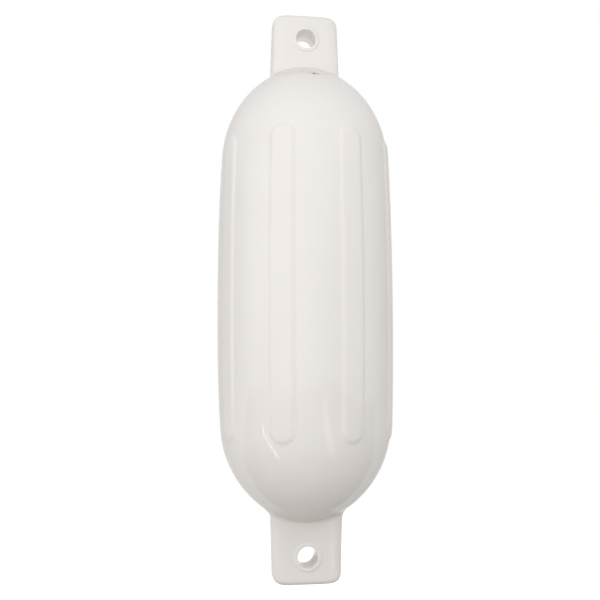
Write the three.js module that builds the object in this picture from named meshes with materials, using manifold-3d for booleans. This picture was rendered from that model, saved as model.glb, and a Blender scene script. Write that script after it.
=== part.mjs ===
import * as THREE from 'three';
import { mergeVertices } from 'three/addons/utils/BufferGeometryUtils.js';
import Module from 'manifold-3d';

// A ribbed boat fender, moulded in one piece with an eye tab at each end.
// Millimetres, +Z up along the fender. The origin is the centre of the upper eye.
// Heights below are measured from the middle of the body. The halves are alike but for their domes.

// Hull: a barrel that closes in two domes
const hullRadius = 103.9; // at the middle, under a rib
const hullSag = 2.5; // how much narrower the barrel is at its shoulders
const shoulderHeight = 162; // where a dome starts
const upperDome = 112.9; // from the shoulder to the pole of the upper dome
const lowerDome = 110.7; // the lower dome is a little flatter
const domeFullness = 1.97; // 2 gives an ellipse, and less a more pointed dome
const panelBulge = 1.6; // how far the barrel swells out halfway between two ribs

// Ribs: flat pads with round ends, raised along the hull
const ribCount = 8;
const ribHeight = 1.9;
const ribWidth = 26.8; // across the middle of its walls
const ribLength = 353.8; // over its round ends
const ribWall = 5.8; // width of the sloping wall round a rib

// Eye tabs: one at each pole, flat towards -Y and +Y
const eyeSpacing = 623; // between the centres of the two eyes
const tabEnd = 31.5; // from an eye's centre to the end of its tab
const tabWidth = 82; // at the eye
const tabThickness = 34;
const tabTaper = THREE.MathUtils.degToRad(1.9); // each side, towards the end
const tabSquareness = 5; // 2 gives an oval section, and more a squarer one
const tabCorner = 11.5; // corner radius, seen from the front
const tabEndRound = 6; // radius between a face and the end
const tabFillet = 18; // reach of the fillet between a tab and its dome

// Eyes: a bore with a raised rim on both faces
const eyeRadius = 12;
const rimRadius = 17;
const rimRise = 1;
const rimRound = 0.8;
const boreRound = 1.8;

// Inflation valve: a rubber plug in the front of the upper dome
const valveHeight = 250.1;
const valveBearing = THREE.MathUtils.degToRad(2.9); // from the front, towards +X
const valveRadius = 5.2;
const valveDepth = 7;
const valveClearance = 0.3;
const needleRadius = 1.3;
const needleDepth = 3.2;

// Mesh fineness
const barrelSteps = 5;
const ribEndSteps = 4;
const domeSteps = 11;
const tabSteps = 3;
const cornerSteps = 4;
const closestRings = 0.5;
const roundSegments = 36;

const poleHeight = shoulderHeight + upperDome;
const eyeHeight = eyeSpacing / 2;
const endHeight = eyeHeight + tabEnd;
const ribReach = (ribWidth + ribWall) / 2;
const ribStraight = (ribLength - ribWidth) / 2;
const ribPitch = (2 * Math.PI) / ribCount;
const rimHalfSpan = tabThickness / 2 + rimRise;

const { clamp, smoothstep, lerp } = THREE.MathUtils;

function smoothMax(a, b, reach) {
  const share = clamp(0.5 + (a - b) / (2 * reach), 0, 1);
  return lerp(b, a, share) + reach * share * (1 - share);
}

// Radius of the bare hull; past the pole there is only the tab
function hullRadiusAt(height) {
  const past = Math.max(Math.abs(height) - shoulderHeight, 0);
  const rise = past / (height > 0 ? upperDome : lowerDome);
  if (rise >= 1) return -tabFillet;
  const barrel = hullRadius - hullSag * (height / shoulderHeight) ** 2;
  return barrel * (1 - rise ** 2) ** (1 / domeFullness);
}

// The barrel's swelling between the ribs, which fades out towards its shoulders
function bulgeAt(angle, height) {
  const between = (1 + Math.cos(ribCount * angle)) / 2;
  const fade = Math.max(1 - (height / shoulderHeight) ** 4, 0);
  return panelBulge * between * fade;
}

// Height of the rib over the hull, from the distance to the rib's centre line
function ribRiseAt(angle, height) {
  const across = hullRadius * Math.abs(ribOffset(angle));
  const along = Math.max(Math.abs(height) - ribStraight, 0);
  const inside = ribReach - Math.hypot(across, along);
  return ribHeight * smoothstep(inside, 0, ribWall);
}

// Angle from the nearest rib's centre line; the ribs sit half a pitch off the X axis
function ribOffset(angle) {
  const turns = angle / ribPitch;
  return (turns - Math.floor(turns) - 0.5) * ribPitch;
}

// How far a rounded edge has dropped back, at a distance from the end
function roundingDrop(toEnd, radius) {
  const into = clamp(1 - toEnd / radius, 0, 1);
  return radius * (1 - Math.sqrt(1 - into ** 2));
}

// Radius of a tab's section, a rounded rectangle that narrows towards the end
function tabRadiusAt(angle, height) {
  const fromEye = Math.abs(height) - eyeHeight;
  const toEnd = tabEnd - fromEye;
  const halfWidth = tabWidth / 2 - fromEye * Math.tan(tabTaper) - roundingDrop(toEnd, tabCorner);
  const halfThickness = tabThickness / 2 - roundingDrop(toEnd, tabEndRound);
  const x = Math.abs(Math.cos(angle)) / halfWidth;
  const y = Math.abs(Math.sin(angle)) / halfThickness;
  return (x ** tabSquareness + y ** tabSquareness) ** (-1 / tabSquareness);
}

function skinRadiusAt(angle, height) {
  const hull = hullRadiusAt(height) + bulgeAt(angle, height) + ribRiseAt(angle, height);
  return smoothMax(hull, tabRadiusAt(angle, height), tabFillet);
}

// Angles of the mesh lines that run up the fender, closest on the ribs' walls
function meshAngles() {
  const wall = ribWall / 2;
  const reaches = [0, ribWidth / 2 - wall, ribWidth / 2, ribReach].map((reach) => reach / hullRadius);
  const gap = (reaches[3] + ribPitch / 2) / 2;
  const side = [...reaches, gap];
  const offsets = [...side.slice(1).reverse().map((offset) => -offset), ...side, ribPitch / 2];
  const angles = [];
  for (let rib = 0; rib < ribCount; rib++) {
    offsets.forEach((offset) => angles.push((rib + 0.5) * ribPitch + offset));
  }
  return angles;
}

function steps(count, place) {
  return Array.from({ length: count }, (_, index) => place((index + 1) / count));
}

// Heights of the mesh rings on the upper half, closest where the skin bends
function upperHeights() {
  const arc = (share) => Math.sin((share * Math.PI) / 2);
  const heights = [
    ...steps(barrelSteps, (share) => share * ribStraight),
    ...steps(ribEndSteps, (share) => ribStraight + ribReach * arc(share)),
    ...steps(domeSteps, (share) => shoulderHeight + upperDome * arc(share)),
    ...steps(tabSteps, (share) => lerp(poleHeight, endHeight - tabCorner, share)),
    ...steps(cornerSteps, (share) => endHeight - tabCorner + tabCorner * arc(share)),
  ].sort((low, high) => low - high);
  const spaced = [];
  for (const height of heights) {
    const below = spaced.at(-1) ?? 0;
    if (height - below > closestRings && endHeight - height > closestRings) spaced.push(height);
  }
  return [...spaced, endHeight];
}

// The closed outer skin, ring by ring from the lower end to the upper one
function skinGeometry() {
  const angles = meshAngles();
  const upper = upperHeights();
  const heights = [...upper.map((height) => -height).reverse(), 0, ...upper];
  const points = [];
  const faces = [];
  heights.forEach((height) => angles.forEach((angle) => {
    const radius = skinRadiusAt(angle, height);
    points.push(radius * Math.cos(angle), radius * Math.sin(angle), height);
  }));
  const around = angles.length;
  const lowCentre = points.push(0, 0, -endHeight) / 3 - 1;
  const highCentre = points.push(0, 0, endHeight) / 3 - 1;
  const topRing = (heights.length - 1) * around;
  for (let column = 0; column < around; column++) {
    const next = (column + 1) % around;
    for (let ring = 0; ring < topRing; ring += around) {
      const above = ring + around;
      faces.push(ring + column, ring + next, above + next);
      faces.push(ring + column, above + next, above + column);
    }
    faces.push(lowCentre, next, column);
    faces.push(highCentre, topRing + column, topRing + next);
  }
  const geometry = new THREE.BufferGeometry();
  geometry.setAttribute('position', new THREE.Float32BufferAttribute(points, 3));
  geometry.setIndex(faces);
  return geometry;
}

// A solid of revolution about the Y axis, from points of radius and height
function turned(profile) {
  return new THREE.LatheGeometry(profile.map(([radius, y]) => new THREE.Vector2(radius, y)), roundSegments);
}

// The boss through a tab, whose two ends stand proud as the eye's rims
function rimGeometry() {
  return turned([
    [0, -rimHalfSpan],
    [rimRadius - rimRound, -rimHalfSpan],
    [rimRadius, rimRound - rimHalfSpan],
    [rimRadius, rimHalfSpan - rimRound],
    [rimRadius - rimRound, rimHalfSpan],
    [0, rimHalfSpan],
  ]);
}

// The space of an eye's bore, opening a little at both mouths
function boreGeometry() {
  const past = rimHalfSpan + boreRound;
  return turned([
    [0, -past],
    [eyeRadius + 2 * boreRound, -past],
    [eyeRadius, boreRound - rimHalfSpan],
    [eyeRadius, rimHalfSpan - boreRound],
    [eyeRadius + 2 * boreRound, past],
    [0, past],
  ]);
}

// The plug, with its outer face at zero and a needle socket in it
function valveGeometry() {
  return turned([
    [0, -valveDepth],
    [valveRadius, -valveDepth],
    [valveRadius, 0],
    [needleRadius, 0],
    [needleRadius / 2, -needleDepth],
    [0, -needleDepth],
  ]);
}

function valvePocketGeometry() {
  const radius = valveRadius + valveClearance;
  const floor = -valveDepth - valveClearance;
  return turned([[0, floor], [radius, floor], [radius, valveDepth], [0, valveDepth]]);
}

// Turns and moves a piece from the Y axis to the valve's seat, square to the dome
function valvePlace() {
  const span = 1;
  const slope = (hullRadiusAt(valveHeight + span) - hullRadiusAt(valveHeight - span)) / (2 * span);
  const outward = new THREE.Vector3(0, -1, -slope).normalize();
  const upright = new THREE.Vector3(0, 1, 0);
  const seat = new THREE.Vector3(0, -hullRadiusAt(valveHeight), valveHeight);
  const tilt = new THREE.Quaternion().setFromUnitVectors(upright, outward);
  const place = new THREE.Matrix4().compose(seat, tilt, new THREE.Vector3(1, 1, 1));
  return place.premultiply(new THREE.Matrix4().makeRotationZ(valveBearing));
}

const wasm = await Module();
wasm.setup();

function toSolid(geometry) {
  geometry.deleteAttribute('normal');
  geometry.deleteAttribute('uv');
  const merged = mergeVertices(geometry);
  const index = Array.from(merged.index.array);
  const faces = [];
  for (let first = 0; first < index.length; first += 3) {
    const [a, b, c] = index.slice(first, first + 3);
    if (a !== b && b !== c && c !== a) faces.push(a, b, c);
  }
  return new wasm.Manifold(new wasm.Mesh({
    numProp: 3,
    vertProperties: new Float32Array(merged.attributes.position.array),
    triVerts: new Uint32Array(faces),
  }));
}

function toGeometry(solid) {
  const mesh = solid.getMesh();
  const geometry = new THREE.BufferGeometry();
  geometry.setAttribute('position', new THREE.BufferAttribute(mesh.vertProperties, 3));
  geometry.setIndex(new THREE.BufferAttribute(mesh.triVerts, 1));
  geometry.computeVertexNormals();
  return geometry;
}

function fenderBody() {
  let solid = toSolid(skinGeometry());
  for (const side of [-1, 1]) {
    const boss = toSolid(rimGeometry().translate(0, 0, side * eyeHeight));
    const bore = toSolid(boreGeometry().translate(0, 0, side * eyeHeight));
    solid = solid.add(boss).subtract(bore);
  }
  solid = solid.subtract(toSolid(valvePocketGeometry().applyMatrix4(valvePlace())));
  const vinyl = new THREE.MeshStandardMaterial({ color: 0xe9e7e2, roughness: 0.25, metalness: 0 });
  const mesh = new THREE.Mesh(toGeometry(solid), vinyl);
  mesh.name = 'fender_body';
  return mesh;
}

function inflationValve() {
  const rubber = new THREE.MeshStandardMaterial({ color: 0xb4a79b, roughness: 0.6, metalness: 0 });
  const mesh = new THREE.Mesh(toGeometry(toSolid(valveGeometry())), rubber);
  mesh.name = 'inflation_valve';
  mesh.applyMatrix4(valvePlace());
  return mesh;
}

const fender = new THREE.Group();
const pieces = new THREE.Group();
pieces.position.z = -eyeHeight;
pieces.add(fenderBody(), inflationValve());
fender.add(pieces);
fender.updateMatrixWorld(true);

export default fender;
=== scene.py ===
import math

import bmesh
import bpy
from mathutils import Matrix, Vector


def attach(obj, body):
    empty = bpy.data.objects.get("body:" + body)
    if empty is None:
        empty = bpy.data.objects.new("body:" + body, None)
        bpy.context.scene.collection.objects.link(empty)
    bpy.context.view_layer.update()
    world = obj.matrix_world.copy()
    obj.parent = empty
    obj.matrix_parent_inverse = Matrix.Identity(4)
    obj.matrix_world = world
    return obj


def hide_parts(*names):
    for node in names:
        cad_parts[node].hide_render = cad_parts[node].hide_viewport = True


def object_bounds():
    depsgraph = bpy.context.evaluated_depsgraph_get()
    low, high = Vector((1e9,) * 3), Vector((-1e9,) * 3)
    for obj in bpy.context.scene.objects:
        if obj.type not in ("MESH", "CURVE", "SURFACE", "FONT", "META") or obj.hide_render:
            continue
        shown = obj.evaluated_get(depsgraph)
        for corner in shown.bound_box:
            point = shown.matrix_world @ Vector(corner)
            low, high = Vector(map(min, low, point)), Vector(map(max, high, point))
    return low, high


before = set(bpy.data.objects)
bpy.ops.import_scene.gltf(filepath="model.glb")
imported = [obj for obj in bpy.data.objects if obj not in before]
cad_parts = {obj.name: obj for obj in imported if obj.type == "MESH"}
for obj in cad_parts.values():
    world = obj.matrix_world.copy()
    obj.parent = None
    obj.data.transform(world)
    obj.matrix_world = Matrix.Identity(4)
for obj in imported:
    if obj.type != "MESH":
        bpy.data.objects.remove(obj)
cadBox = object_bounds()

print("fender: frame loaded")

# Sizes of the moulded body, in metres and radians, as on the CAD part
bodySizes = {
    "Hull Radius": 0.1039,
    "Hull Sag": 0.0025,
    "Shoulder Height": 0.162,
    "Upper Dome": 0.1129,
    "Lower Dome": 0.1107,
    "Dome Fullness": 1.97,
    "Panel Bulge": 0.0016,
    "Rib Count": 8,
    "Rib Height": 0.0019,
    "Rib Width": 0.0268,
    "Rib Length": 0.3538,
    "Rib Wall": 0.0058,
    "Eye Spacing": 0.623,
    "Tab End": 0.0315,
    "Tab Width": 0.082,
    "Tab Thickness": 0.034,
    "Tab Taper": math.radians(1.9),
    "Tab Squareness": 5,
    "Tab Corner": 0.0115,
    "Tab End Round": 0.006,
    "Tab Fillet": 0.018,
    "Eye Radius": 0.012,
    "Rim Radius": 0.017,
    "Rim Rise": 0.001,
    "Rim Round": 0.0009,
    "Bore Round": 0.002,
    "Pocket Radius": 0.0055,
    "Pocket Depth": 0.0073,
}

# How many mesh rings each stretch of the upper half gets, from the middle to the end
ringCounts = {"barrel": 14, "ribEnd": 15, "dome": 46, "tab": 16, "corner": 12, "cap": 5}
columnCount = 288
crowdsPerRib = 3  # the columns crowd on both walls of a rib, and half way to the next rib
wallCrowding = 0.5  # how much closer they stand there
eyeSegments = 96
pocketSegments = 64
edgeSteps = 5  # on each small rounded edge
mergeDistance = 1e-6
creaseAngle = math.radians(40)

valveSizes = {
    "height": 0.2501,  # above the middle of the body
    "bearing": math.radians(2.9),  # from the front, towards +X
    "radius": 0.0052,
    "depth": 0.007,
    "edge": 0.0006,
    "socketRadius": 0.0013,
    "socketDepth": 0.0032,
    "socketTaper": 0.7,  # width of the socket's floor, as a share of its mouth
    "lip": 0.0002,  # how far in the middle of the socket's rounded mouth lies
    "segments": 64,
}

middle = Vector((0, 0, -bodySizes["Eye Spacing"] / 2))  # halfway between the two eyes


def connect(tree, source, socket):
    if isinstance(source, bpy.types.NodeSocket):
        tree.links.new(source, socket)
    else:
        socket.default_value = source


def calc(tree, operation, *values):
    node = tree.nodes.new("ShaderNodeMath")
    node.operation = operation
    for value, socket in zip(values, node.inputs):
        connect(tree, value, socket)
    return node.outputs[0]


def ramp(tree, value, low, high, start, end, curve="LINEAR"):
    node = tree.nodes.new("ShaderNodeMapRange")
    node.interpolation_type = curve
    for source, socket in zip((value, low, high, start, end), node.inputs):
        connect(tree, source, socket)
    return node.outputs[0]


def addNode(tree, kind, inputs=None, settings=None):
    node = tree.nodes.new(kind)
    for name, value in (settings or {}).items():
        setattr(node, name, value)
    for name, source in (inputs or {}).items():
        connect(tree, source, node.inputs[name])
    return node


def components(tree, vector):
    return addNode(tree, "ShaderNodeSeparateXYZ", {"Vector": vector}).outputs


# Heights of the rings, from the middle (0) to the end (1), and how far a cap has closed
def ringPlaces(tree, size, share):
    total = sum(ringCounts.values())
    edges = {}
    reached = 0
    for stretch, count in ringCounts.items():
        edges[stretch] = (reached / total, (reached + count) / total)
        reached += count

    ribWall = size["Rib Wall"]
    ribStraight = calc(tree, "MULTIPLY", calc(tree, "SUBTRACT", size["Rib Length"], size["Rib Width"]), 0.5)
    ribReach = calc(tree, "MULTIPLY", calc(tree, "ADD", size["Rib Width"], ribWall), 0.5)
    ribStart = calc(tree, "SUBTRACT", ribStraight, ribWall)
    domeStart = calc(tree, "ADD", ribStraight, ribReach)
    pole = calc(tree, "ADD", size["Shoulder Height"], size["Upper Dome"])
    eyeHeight = calc(tree, "MULTIPLY", size["Eye Spacing"], 0.5)
    end = calc(tree, "ADD", eyeHeight, size["Tab End"])
    cornerStart = calc(tree, "SUBTRACT", end, size["Tab Corner"])

    def straight(stretch, length):
        return ramp(tree, share, *edges[stretch], 0.0, length)

    def eased(stretch, length):
        turn = ramp(tree, share, *edges[stretch], 0.0, math.pi / 2)
        return calc(tree, "MULTIPLY", calc(tree, "SINE", turn), length)

    height = straight("barrel", ribStart)
    for part in (
        straight("ribEnd", calc(tree, "SUBTRACT", domeStart, ribStart)),
        eased("dome", calc(tree, "SUBTRACT", pole, domeStart)),
        straight("tab", calc(tree, "SUBTRACT", cornerStart, pole)),
        eased("corner", size["Tab Corner"]),
    ):
        height = calc(tree, "ADD", height, part)
    cap = ramp(tree, share, *edges["cap"], 1.0, 0.0)
    return height, cap, ribStraight, ribReach, eyeHeight, end


# Angles of the columns, crowded on the ribs' walls
def columnAngles(tree, size, pitch, share):
    perTurn = 2 * math.pi * crowdsPerRib
    turns = calc(tree, "MULTIPLY", share, size["Rib Count"])
    wave = calc(tree, "SINE", calc(tree, "MULTIPLY", turns, perTurn))
    shift = calc(tree, "MULTIPLY", wave, wallCrowding / perTurn)
    return calc(tree, "MULTIPLY", calc(tree, "SUBTRACT", turns, shift), pitch)


def hullRadius(tree, size, height, side):
    dome = ramp(tree, side, -1.0, 1.0, size["Lower Dome"], size["Upper Dome"])
    past = calc(tree, "MAXIMUM", calc(tree, "SUBTRACT", height, size["Shoulder Height"]), 0.0)
    rise = calc(tree, "MINIMUM", calc(tree, "DIVIDE", past, dome), 1.0)
    along = calc(tree, "DIVIDE", height, size["Shoulder Height"])
    sag = calc(tree, "MULTIPLY", size["Hull Sag"], calc(tree, "POWER", along, 2.0))
    barrel = calc(tree, "SUBTRACT", size["Hull Radius"], sag)
    remainder = calc(tree, "SUBTRACT", 1.0, calc(tree, "POWER", rise, 2.0))
    closing = calc(tree, "POWER", remainder, calc(tree, "DIVIDE", 1.0, size["Dome Fullness"]))
    return calc(tree, "MULTIPLY", barrel, closing)


panelFadePower = 4.0


# The barrel swells between the ribs, less and less towards its shoulders
def panelBulge(tree, size, angle, height):
    wave = calc(tree, "COSINE", calc(tree, "MULTIPLY", angle, size["Rib Count"]))
    between = ramp(tree, wave, -1.0, 1.0, 0.0, size["Panel Bulge"])
    along = calc(tree, "POWER", calc(tree, "DIVIDE", height, size["Shoulder Height"]), panelFadePower)
    fade = calc(tree, "MAXIMUM", calc(tree, "SUBTRACT", 1.0, along), 0.0)
    return calc(tree, "MULTIPLY", between, fade)


def ribRise(tree, size, angle, pitch, height, ribStraight, ribReach):
    phase = calc(tree, "FRACT", calc(tree, "DIVIDE", angle, pitch))
    offset = calc(tree, "MULTIPLY", calc(tree, "SUBTRACT", phase, 0.5), pitch)
    across = calc(tree, "MULTIPLY", offset, size["Hull Radius"])
    along = calc(tree, "MAXIMUM", calc(tree, "SUBTRACT", height, ribStraight), 0.0)
    squares = calc(tree, "ADD", calc(tree, "POWER", calc(tree, "ABSOLUTE", across), 2.0),
                   calc(tree, "POWER", along, 2.0))
    inside = calc(tree, "SUBTRACT", ribReach, calc(tree, "SQRT", squares))
    return ramp(tree, inside, 0.0, size["Rib Wall"], 0.0, size["Rib Height"], "SMOOTHSTEP")


# How far a rounded edge has dropped back, at a distance from the end
def roundingDrop(tree, toEnd, radius):
    into = ramp(tree, toEnd, 0.0, radius, 1.0, 0.0)
    fall = calc(tree, "SQRT", calc(tree, "SUBTRACT", 1.0, calc(tree, "POWER", into, 2.0)))
    return calc(tree, "MULTIPLY", radius, calc(tree, "SUBTRACT", 1.0, fall))


def tabRadius(tree, size, cosine, sine, height, eyeHeight, end):
    fromEye = calc(tree, "SUBTRACT", height, eyeHeight)
    toEnd = calc(tree, "SUBTRACT", end, height)
    taper = calc(tree, "MULTIPLY", fromEye, calc(tree, "TANGENT", size["Tab Taper"]))
    halfWidth = calc(tree, "SUBTRACT", calc(tree, "MULTIPLY", size["Tab Width"], 0.5), taper)
    halfWidth = calc(tree, "SUBTRACT", halfWidth, roundingDrop(tree, toEnd, size["Tab Corner"]))
    halfThick = calc(tree, "SUBTRACT", calc(tree, "MULTIPLY", size["Tab Thickness"], 0.5),
                     roundingDrop(tree, toEnd, size["Tab End Round"]))
    squareness = size["Tab Squareness"]
    x = calc(tree, "POWER", calc(tree, "DIVIDE", calc(tree, "ABSOLUTE", cosine), halfWidth), squareness)
    y = calc(tree, "POWER", calc(tree, "DIVIDE", calc(tree, "ABSOLUTE", sine), halfThick), squareness)
    return calc(tree, "POWER", calc(tree, "ADD", x, y), calc(tree, "DIVIDE", -1.0, squareness))


# The closed skin: a grid whose width runs round the fender and whose height runs along it
def skin(tree, size):
    half = sum(ringCounts.values())
    grid = addNode(tree, "GeometryNodeMeshGrid", {
        "Size X": 1.0, "Size Y": 1.0,
        "Vertices X": columnCount + 1, "Vertices Y": 2 * half + 1,
    })
    place = components(tree, addNode(tree, "GeometryNodeInputPosition").outputs[0])
    along = calc(tree, "MULTIPLY", place["Y"], 2.0)
    pitch = calc(tree, "DIVIDE", 2 * math.pi, size["Rib Count"])
    angle = columnAngles(tree, size, pitch, calc(tree, "ADD", place["X"], 0.5))
    share = calc(tree, "ABSOLUTE", along)
    height, cap, ribStraight, ribReach, eyeHeight, end = ringPlaces(tree, size, share)

    cosine = calc(tree, "COSINE", angle)
    sine = calc(tree, "SINE", angle)
    side = calc(tree, "SIGN", along)
    hull = hullRadius(tree, size, height, side)
    hull = calc(tree, "ADD", hull, panelBulge(tree, size, angle, height))
    rib = ribRise(tree, size, angle, pitch, height, ribStraight, ribReach)
    hull = calc(tree, "ADD", hull, rib)
    tab = tabRadius(tree, size, cosine, sine, height, eyeHeight, end)
    radius = calc(tree, "MULTIPLY", calc(tree, "SMOOTH_MAX", hull, tab, size["Tab Fillet"]), cap)
    moved = addNode(tree, "ShaderNodeCombineXYZ", {
        "X": calc(tree, "MULTIPLY", radius, cosine),
        "Y": calc(tree, "MULTIPLY", radius, sine),
        "Z": calc(tree, "MULTIPLY", height, side),
    })
    shaped = addNode(tree, "GeometryNodeSetPosition", {
        "Geometry": grid.outputs["Mesh"],
        "Position": moved.outputs[0],
    })
    merged = addNode(tree, "GeometryNodeMergeByDistance", {
        "Geometry": shaped.outputs[0],
        "Distance": mergeDistance,
    })
    return merged.outputs[0], eyeHeight


# The same mesh at both eyes, turned so that its axis runs along Y
def placedTwice(tree, mesh, eyeHeight):
    joined = addNode(tree, "GeometryNodeJoinGeometry")
    for side in (-1.0, 1.0):
        offset = addNode(tree, "ShaderNodeCombineXYZ", {"Z": calc(tree, "MULTIPLY", eyeHeight, side)})
        turned = addNode(tree, "GeometryNodeTransform", {
            "Geometry": mesh,
            "Rotation": (math.pi / 2, 0, 0),
            "Translation": offset.outputs[0],
        })
        tree.links.new(turned.outputs[0], joined.inputs[0])
    return joined.outputs[0]


def combined(tree, operation, first, second):
    node = addNode(tree, "GeometryNodeMeshBoolean", settings={"operation": operation, "solver": "MANIFOLD"})
    tree.links.new(first, node.inputs["Mesh 1" if operation == "DIFFERENCE" else "Mesh 2"])
    tree.links.new(second, node.inputs["Mesh 2"])
    return node.outputs["Mesh"]


# The two eyes: a bore is cut through each tab and lined with a ring that stands proud
def withEyes(tree, size, skinMesh, eyeHeight):
    wall = calc(tree, "SUBTRACT", size["Rim Radius"], size["Eye Radius"])
    centre = calc(tree, "MULTIPLY", calc(tree, "ADD", size["Rim Radius"], size["Eye Radius"]), 0.5)
    span = calc(tree, "ADD", size["Tab Thickness"], calc(tree, "MULTIPLY", size["Rim Rise"], 2.0))
    section = addNode(tree, "GeometryNodeCurvePrimitiveQuadrilateral", {"Width": wall, "Height": span})
    # The section's +X side becomes the ring's outside, so here the larger round, the bore's, is outside
    across = components(tree, addNode(tree, "GeometryNodeInputPosition").outputs[0])["X"]
    outward = calc(tree, "GREATER_THAN", across, 0.0)
    rounded = addNode(tree, "GeometryNodeFilletCurve", {
        "Curve": section.outputs[0],
        "Radius": ramp(tree, outward, 0.0, 1.0, size["Rim Round"], size["Bore Round"]),
        "Count": edgeSteps,
        "Limit Radius": True,
    }, {"mode": "POLY"})
    circle = addNode(tree, "GeometryNodeCurvePrimitiveCircle", {"Resolution": eyeSegments, "Radius": centre})
    ring = addNode(tree, "GeometryNodeCurveToMesh", {
        "Curve": circle.outputs[0],
        "Profile Curve": rounded.outputs[0],
    })
    cutter = addNode(tree, "GeometryNodeMeshCylinder", {
        "Vertices": eyeSegments,
        "Radius": centre,
        "Depth": calc(tree, "MULTIPLY", span, 2.0),
    })
    cut = combined(tree, "DIFFERENCE", skinMesh, placedTwice(tree, cutter.outputs["Mesh"], eyeHeight))
    return combined(tree, "UNION", cut, placedTwice(tree, ring.outputs[0], eyeHeight))


def withValvePocket(tree, size, mesh, seat, turn):
    cutter = addNode(tree, "GeometryNodeMeshCylinder", {
        "Vertices": pocketSegments,
        "Radius": size["Pocket Radius"],
        "Depth": calc(tree, "MULTIPLY", size["Pocket Depth"], 2.0),
    })
    placed = addNode(tree, "GeometryNodeTransform", {
        "Geometry": cutter.outputs["Mesh"],
        "Translation": seat,
        "Rotation": turn,
    })
    return combined(tree, "DIFFERENCE", mesh, placed.outputs[0])


def bodyTree():
    tree = bpy.data.node_groups.new("mouldedFender", "GeometryNodeTree")
    tree.interface.new_socket("Geometry", in_out="OUTPUT", socket_type="NodeSocketGeometry")
    for label in bodySizes:
        tree.interface.new_socket(label, in_out="INPUT", socket_type="NodeSocketFloat")
    tree.interface.new_socket("Valve Seat", in_out="INPUT", socket_type="NodeSocketVector")
    tree.interface.new_socket("Valve Turn", in_out="INPUT", socket_type="NodeSocketRotation")
    tree.interface.new_socket("Material", in_out="INPUT", socket_type="NodeSocketMaterial")
    size = tree.nodes.new("NodeGroupInput").outputs

    skinMesh, eyeHeight = skin(tree, size)
    mesh = withEyes(tree, size, skinMesh, eyeHeight)
    mesh = withValvePocket(tree, size, mesh, size["Valve Seat"], size["Valve Turn"])
    smooth = addNode(tree, "GeometryNodeSetShadeSmooth", {"Geometry": mesh})
    bend = addNode(tree, "GeometryNodeInputMeshEdgeAngle").outputs["Unsigned Angle"]
    creased = addNode(tree, "GeometryNodeSetShadeSmooth", {
        "Geometry": smooth.outputs[0],
        "Selection": calc(tree, "GREATER_THAN", bend, creaseAngle),
        "Shade Smooth": False,
    }, {"domain": "EDGE"})
    real = addNode(tree, "GeometryNodeRealizeInstances", {"Geometry": creased.outputs[0]})
    painted = addNode(tree, "GeometryNodeSetMaterial", {
        "Geometry": real.outputs[0],
        "Material": size["Material"],
    })
    output = tree.nodes.new("NodeGroupOutput")
    tree.links.new(painted.outputs[0], output.inputs[0])
    return tree


# Radius of the bare hull, for seating the valve on the dome
def hullRadiusAt(height):
    dome = bodySizes["Upper Dome" if height > 0 else "Lower Dome"]
    rise = max(abs(height) - bodySizes["Shoulder Height"], 0) / dome
    along = height / bodySizes["Shoulder Height"]
    barrel = bodySizes["Hull Radius"] - bodySizes["Hull Sag"] * along ** 2
    return barrel * (1 - rise ** 2) ** (1 / bodySizes["Dome Fullness"])


# The valve's seat on the dome and the turn that points Z out of it
def valveSeat():
    span = 0.001
    height = valveSizes["height"]
    slope = (hullRadiusAt(height + span) - hullRadiusAt(height - span)) / (2 * span)
    turn = Matrix.Rotation(valveSizes["bearing"], 4, "Z")
    seat = turn @ Vector((0, -hullRadiusAt(height), height))
    outward = turn @ Vector((0, -1, -slope)).normalized()
    return seat, outward.to_track_quat("Z", "Y")


def setInputs(modifier, values):
    for item in modifier.node_group.interface.items_tree:
        if item.in_out == "INPUT" and item.name in values:
            modifier[item.identifier] = values[item.name]


# The modifier's result becomes the piece's own mesh
def plainMesh(piece):
    bpy.context.view_layer.update()
    evaluated = piece.evaluated_get(bpy.context.evaluated_depsgraph_get())
    mesh = bpy.data.meshes.new_from_object(evaluated)
    piece.modifiers.clear()
    piece.data = mesh


def mouldedBody(material):
    piece = bpy.data.objects.new("mouldedBody", bpy.data.meshes.new("mouldedBody"))
    bpy.context.scene.collection.objects.link(piece)
    modifier = piece.modifiers.new("shape", "NODES")
    modifier.node_group = bodyTree()
    seat, turn = valveSeat()
    setInputs(modifier, {
        **bodySizes,
        "Valve Seat": seat,
        "Valve Turn": turn.to_euler(),
        "Material": material,
    })
    plainMesh(piece)
    piece.data.transform(Matrix.Translation(middle))
    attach(piece, "root")
    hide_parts("fender_body")


# A closed shape turned round Z from points of radius and height, both ends on the axis
def turnedMesh(name, profile, segments):
    shape = bmesh.new()
    points = [shape.verts.new((radius, 0, height)) for radius, height in profile]
    edges = [shape.edges.new(pair) for pair in zip(points, points[1:])]
    bmesh.ops.spin(shape, geom=points + edges, axis=(0, 0, 1), cent=(0, 0, 0),
                   steps=segments, angle=2 * math.pi, use_merge=True)
    bmesh.ops.remove_doubles(shape, verts=shape.verts, dist=mergeDistance)
    bmesh.ops.recalc_face_normals(shape, faces=shape.faces)
    mesh = bpy.data.meshes.new(name)
    shape.to_mesh(mesh)
    shape.free()
    mesh.shade_smooth()
    return mesh


def quarterRound(radius, height, edge):
    points = []
    for index in range(edgeSteps + 1):
        turn = math.pi / 2 * index / edgeSteps
        points.append((radius - edge + edge * math.cos(turn), height - edge + edge * math.sin(turn)))
    return points


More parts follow.
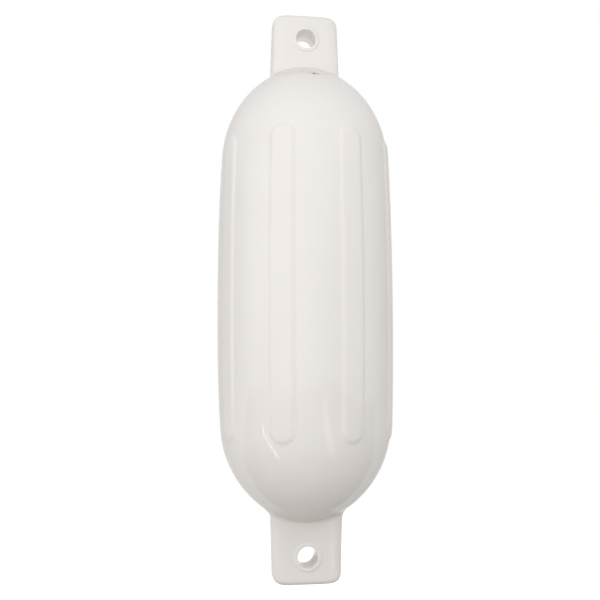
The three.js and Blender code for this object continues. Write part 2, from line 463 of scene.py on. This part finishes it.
def inflationValve(material):
    wide, deep, edge = valveSizes["radius"], valveSizes["depth"], valveSizes["edge"]
    socket, bottom, lip = valveSizes["socketRadius"], -valveSizes["socketDepth"], valveSizes["lip"]
    profile = [(0, -deep), (wide - edge, -deep), (wide, edge - deep)]
    profile += quarterRound(wide, 0, edge)
    profile += [(socket + edge, 0), (socket + lip, -lip), (socket, -edge)]
    profile += [(socket * valveSizes["socketTaper"], bottom), (0, bottom - edge)]
    piece = bpy.data.objects.new("valvePlug", turnedMesh("valvePlug", profile, valveSizes["segments"]))
    bpy.context.scene.collection.objects.link(piece)
    seat, turn = valveSeat()
    piece.data.transform(Matrix.Translation(middle + seat) @ turn.to_matrix().to_4x4())
    piece.data.materials.append(material)
    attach(piece, "root")
    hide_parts("inflation_valve")


grainSizes = {
    "grainDetail": 2.0,
    "waveDetail": 1.0,
    "cloudDetail": 3.0,
    "cloudSize": 0.07,
    "speckEdge": (0.012, 0.035),  # where a speck starts to fade and where it ends, as shares of its cell
}


# Fine grain of moulded plastic, with sparse specks of dirt
def grainGroup():
    tree = bpy.data.node_groups.new("mouldedGrain", "ShaderNodeTree")
    for label in ("Grain Size", "Wave Size", "Wave Share", "Speck Size", "Speck Share"):
        tree.interface.new_socket(label, in_out="INPUT", socket_type="NodeSocketFloat")
    tree.interface.new_socket("Height", in_out="OUTPUT", socket_type="NodeSocketFloat")
    tree.interface.new_socket("Cloud", in_out="OUTPUT", socket_type="NodeSocketFloat")
    tree.interface.new_socket("Specks", in_out="OUTPUT", socket_type="NodeSocketFloat")
    given = tree.nodes.new("NodeGroupInput").outputs
    place = addNode(tree, "ShaderNodeTexCoord").outputs["Object"]

    def noise(size, detail):
        return addNode(tree, "ShaderNodeTexNoise", {
            "Vector": place,
            "Detail": detail,
            "Scale": calc(tree, "DIVIDE", 1.0, size),
        }).outputs["Fac"]

    waves = noise(given["Wave Size"], grainSizes["waveDetail"])
    grains = noise(given["Grain Size"], grainSizes["grainDetail"])
    height = calc(tree, "ADD", grains, calc(tree, "MULTIPLY", waves, given["Wave Share"]))
    cloud = noise(grainSizes["cloudSize"], grainSizes["cloudDetail"])
    dots = addNode(tree, "ShaderNodeTexVoronoi", {
        "Vector": place,
        "Scale": calc(tree, "DIVIDE", 1.0, given["Speck Size"]),
    })
    lot = addNode(tree, "ShaderNodeSeparateColor", {"Color": dots.outputs["Color"]}).outputs[0]
    chosen = calc(tree, "LESS_THAN", lot, given["Speck Share"])
    spot = ramp(tree, dots.outputs["Distance"], *grainSizes["speckEdge"], 1.0, 0.0, "SMOOTHSTEP")
    output = tree.nodes.new("NodeGroupOutput")
    tree.links.new(height, output.inputs["Height"])
    tree.links.new(cloud, output.inputs["Cloud"])
    tree.links.new(calc(tree, "MULTIPLY", spot, chosen), output.inputs["Specks"])
    return tree


def newMaterial(name):
    material = bpy.data.materials.new(name)
    material.use_nodes = True
    tree = material.node_tree
    return material, tree, tree.nodes["Principled BSDF"]


def mixColour(tree, share, first, second):
    node = tree.nodes.new("ShaderNodeMix")
    node.data_type = "RGBA"
    connect(tree, share, node.inputs["Factor"])
    connect(tree, first, node.inputs["A"])
    connect(tree, second, node.inputs["B"])
    return next(output for output in node.outputs if output.type == "RGBA")


vinylLook = {
    "colour": (0.81, 0.78, 0.757, 1),
    "cloudColour": (0.797, 0.766, 0.741, 1),
    "speckColour": (0.42, 0.33, 0.25, 1),
    "speckStrength": 0.2,
    "cloudRange": (0.35, 0.65),
    "roughness": (0.04, 0.07),
    "gloss": (0.5, 0.03),  # facing the view, and at a slant
    "slantRange": (0.3, 0.75),
    "bump": 0.00003,
    "marks": {
        "Grain Size": 0.0016,
        "Wave Size": 0.06,
        "Wave Share": 6.0,
        "Speck Size": 0.02,
        "Speck Share": 0.16,
    },
}

rubberLook = {
    "colour": (0.74, 0.70, 0.67, 1),
    "cloudColour": (0.68, 0.64, 0.61, 1),
    # painted shade: dark brown laid in and around the valve's socket, in place of the shade of its hollow
    "socketShadeColour": (0.3, 0.16, 0.1, 1),
    "socketShadeRange": (0.8, 2.2),  # where the painted shade of the socket starts to fade and where it ends, in radii
    "cloudRange": (0.3, 0.7),
    "roughness": (0.45, 0.6),
    "bump": 0.00004,
    "marks": {"Grain Size": 0.0006, "Wave Size": 0.01, "Wave Share": 0.5},
}


def addGrain(tree, grain, sizes):
    return addNode(tree, "ShaderNodeGroup", sizes, {"node_tree": grain})


def addBump(tree, shader, marks, distance):
    bump = addNode(tree, "ShaderNodeBump", {"Distance": distance, "Height": marks.outputs["Height"]})
    tree.links.new(bump.outputs[0], shader.inputs["Normal"])


def vinylMaterial(grain):
    material, tree, shader = newMaterial("whiteVinyl")
    marks = addGrain(tree, grain, vinylLook["marks"])
    cloud = ramp(tree, marks.outputs["Cloud"], *vinylLook["cloudRange"], 0.0, 1.0)
    base = mixColour(tree, cloud, vinylLook["colour"], vinylLook["cloudColour"])
    specks = calc(tree, "MULTIPLY", marks.outputs["Specks"], vinylLook["speckStrength"])
    tree.links.new(mixColour(tree, specks, base, vinylLook["speckColour"]), shader.inputs["Base Color"])
    tree.links.new(ramp(tree, cloud, 0.0, 1.0, *vinylLook["roughness"]), shader.inputs["Roughness"])
    slant = addNode(tree, "ShaderNodeLayerWeight").outputs["Facing"]
    gloss = ramp(tree, slant, *vinylLook["slantRange"], *vinylLook["gloss"])
    tree.links.new(gloss, shader.inputs["Specular IOR Level"])
    addBump(tree, shader, marks, vinylLook["bump"])
    return material


def rubberMaterial(grain):
    material, tree, shader = newMaterial("valveRubber")
    marks = addGrain(tree, grain, rubberLook["marks"])
    cloud = marks.outputs["Cloud"]
    seat, turn = valveSeat()
    local = addNode(tree, "ShaderNodeMapping", {
        "Vector": addNode(tree, "ShaderNodeTexCoord").outputs["Object"],
        "Location": middle + seat,
        "Rotation": turn.to_euler(),
    }, {"vector_type": "TEXTURE"})
    flat = addNode(tree, "ShaderNodeVectorMath", settings={"operation": "MULTIPLY"})
    tree.links.new(local.outputs[0], flat.inputs[0])
    flat.inputs[1].default_value = (1, 1, 0)
    reach = addNode(tree, "ShaderNodeVectorMath", settings={"operation": "LENGTH"})
    tree.links.new(flat.outputs[0], reach.inputs[0])
    inner, outer = (valveSizes["socketRadius"] * share for share in rubberLook["socketShadeRange"])
    # Painted shade: the rubber turns dark brown in and around the socket's mouth, fading with distance from
    # its axis
    paintedSocketShade = ramp(tree, reach.outputs["Value"], inner, outer, 1.0, 0.0, "SMOOTHSTEP")
    base = mixColour(tree, cloud, rubberLook["colour"], rubberLook["cloudColour"])
    tree.links.new(mixColour(tree, paintedSocketShade, base, rubberLook["socketShadeColour"]), shader.inputs["Base Color"])
    roughness = ramp(tree, cloud, *rubberLook["cloudRange"], *rubberLook["roughness"])
    tree.links.new(roughness, shader.inputs["Roughness"])
    addBump(tree, shader, marks, rubberLook["bump"])
    return material


# The view is from below the middle and a little to the left. The lens and the sensor are in millimetres
viewSizes = {
    "distance": 0.98423,
    "bearing": math.radians(8.07),
    "rise": math.radians(6.25),
    "roll": math.radians(-0.17),
    "right": 0.00594,
    "up": 0.0111,
    "lens": 48.62,
    "sensor": 36,
}


def camera():
    bearing, rise = viewSizes["bearing"], viewSizes["rise"]
    right = Vector((math.cos(bearing), -math.sin(bearing), 0))
    forward = Vector((
        math.sin(bearing) * math.cos(rise),
        math.cos(bearing) * math.cos(rise),
        math.sin(rise),
    ))
    up = right.cross(forward)
    place = middle - forward * viewSizes["distance"] - right * viewSizes["right"] - up * viewSizes["up"]
    turn = Matrix((right, up, -forward)).transposed().to_4x4()
    data = bpy.data.cameras.new("view")
    data.sensor_width = viewSizes["sensor"]
    data.lens = viewSizes["lens"]
    view = bpy.data.objects.new("view", data)
    view.matrix_world = Matrix.Translation(place) @ turn @ Matrix.Rotation(viewSizes["roll"], 4, "Z")
    bpy.context.scene.collection.objects.link(view)
    bpy.context.scene.camera = view


# Each lamp: its place from the middle of the fender, its width and height, and its watts
lampSizes = {
    "frontLamp": {"place": (0, -1.1, 0.4), "size": (1.2, 1.2), "power": 2.3},
    "closeFrontLamp": {"place": (0, -0.8, 0.5), "size": (1.0, 1.0), "power": 3.0},
    "lowFrontLamp": {"place": (-0.1, -1.3, -0.4), "size": (0.8, 0.8), "power": 4.4},
    "leftLamp": {"place": (-1.8, -0.5, 0.1), "size": (1.4, 1.4), "power": 12.0},
    "rightLamp": {"place": (1.8, -0.5, 0.1), "size": (1.4, 1.4), "power": 3.4},
    "rightHighLamp": {"place": (1.5, -0.3, 0.8), "size": (1.2, 1.2), "power": 2.0},
    "backLamp": {"place": (0, 1.9, 0.2), "size": (1.6, 1.6), "power": 14.0},
}
worldStrength = 0.376  # of the white world as a light, where it isn't seen


# Narrow lamps that only gloss mirrors: their two ends and a point that they face, from the middle of the
# fender, their width and their watts
gleamSizes = {
    "windowEdge": {
        "ends": ((-0.635, -0.345, -0.24), (-0.425, -0.426, -0.577)),
        "aim": (-0.05, -0.086, -0.18),
        "width": 0.015,
        "power": 0.13,
    },
    "windowPane": {
        "ends": ((0.2, -0.7, -0.2), (0.31, -0.54, -0.53)),
        "aim": (0.01, -0.1, -0.17),
        "width": 0.09,
        "power": 0.12,
    },
}


def areaLamp(name, size, power):
    data = bpy.data.lights.new(name, "AREA")
    data.shape = "RECTANGLE"
    data.size, data.size_y = size
    data.energy = power
    light = bpy.data.objects.new(name, data)
    light.visible_camera = False
    bpy.context.scene.collection.objects.link(light)
    return light


def lamps():
    for name, lamp in lampSizes.items():
        light = areaLamp(name, lamp["size"], lamp["power"])
        light.location = middle + Vector(lamp["place"])
        light.rotation_euler = (-Vector(lamp["place"])).to_track_quat("-Z", "Y").to_euler()
        light.visible_glossy = False


# A small lamp at the back of each bore lights its wall, as the bright ground behind does
eyeLampSizes = {
    "upperEyeLamp": {"height": 0, "power": 0.001},
    "lowerEyeLamp": {"height": -bodySizes["Eye Spacing"], "power": 0.0003},
}
eyeLampBack = 0.017  # behind the middle of the bore
eyeLampWidth = 0.02


def eyeLamps():
    for name, lamp in eyeLampSizes.items():
        light = areaLamp(name, (eyeLampWidth, eyeLampWidth), lamp["power"])
        light.data.shape = "DISK"
        light.location = (0, eyeLampBack, lamp["height"])
        light.rotation_euler = Vector((0, 1, 0)).to_track_quat("Z", "Y").to_euler()
        light.visible_glossy = False


def gleams():
    for name, gleam in gleamSizes.items():
        first, last = (Vector(end) for end in gleam["ends"])
        centre = (first + last) / 2
        along = (last - first).normalized()
        across = (centre - Vector(gleam["aim"])).cross(along).normalized()
        turn = Matrix((along, across, along.cross(across))).transposed().to_4x4()
        light = areaLamp(name, ((last - first).length, gleam["width"]), gleam["power"])
        light.matrix_world = Matrix.Translation(middle + centre) @ turn
        light.visible_diffuse = False


# 1 on a ray from the camera, and on a ray by way of gloss or glass where the mask is 1
def seenRay(tree, mask=1.0):
    path = tree.nodes.new("ShaderNodeLightPath").outputs
    mirrored = calc(tree, "MAXIMUM", path["Is Glossy Ray"], path["Is Transmission Ray"])
    return calc(tree, "MAXIMUM", path["Is Camera Ray"], calc(tree, "MULTIPLY", mirrored, mask))


def whiteWorld():
    world = bpy.data.worlds.new("studio")
    world.use_nodes = True
    bpy.context.scene.world = world
    tree = world.node_tree
    background = tree.nodes["Background"]
    background.inputs["Color"].default_value = (1, 1, 1, 1)
    strength = ramp(tree, seenRay(tree), 0.0, 1.0, worldStrength, 1.0)
    tree.links.new(strength, background.inputs["Strength"])


# A pale floor that is white to the camera. Gloss shows it white behind a line and in its own colour in front
floorSizes = {
    "drop": 0.25,
    "width": 14,
    "whiteFrom": 0.2,  # the line, behind the fender
    "glow": 0.82,
    "colour": (0.5, 0.485, 0.455, 1),
    "roughness": 0.9,
}


def floor():
    shape = bmesh.new()
    bmesh.ops.create_grid(shape, x_segments=2, y_segments=2, size=floorSizes["width"] / 2)
    mesh = bpy.data.meshes.new("floor")
    shape.to_mesh(mesh)
    shape.free()
    mesh.transform(Matrix.Translation((0, 0, cadBox[0][2] - floorSizes["drop"])))
    material, tree, shader = newMaterial("paleFloor")
    shader.inputs["Base Color"].default_value = floorSizes["colour"]
    shader.inputs["Roughness"].default_value = floorSizes["roughness"]
    shader.inputs["Emission Color"].default_value = (1, 1, 1, 1)
    place = components(tree, addNode(tree, "ShaderNodeTexCoord").outputs["Object"])
    behind = calc(tree, "GREATER_THAN", place["Y"], floorSizes["whiteFrom"])
    glow = calc(tree, "MULTIPLY", seenRay(tree, behind), floorSizes["glow"])
    tree.links.new(glow, shader.inputs["Emission Strength"])
    mesh.materials.append(material)
    piece = bpy.data.objects.new("floor", mesh)
    bpy.context.scene.collection.objects.link(piece)


grain = grainGroup()
mouldedBody(vinylMaterial(grain))
print("fender: moulded body made")
inflationValve(rubberMaterial(grain))
print("fender: valve made")
camera()
lamps()
eyeLamps()
gleams()
whiteWorld()
floor()
bpy.context.scene.view_settings.view_transform = "Standard"
print("fender: studio made")
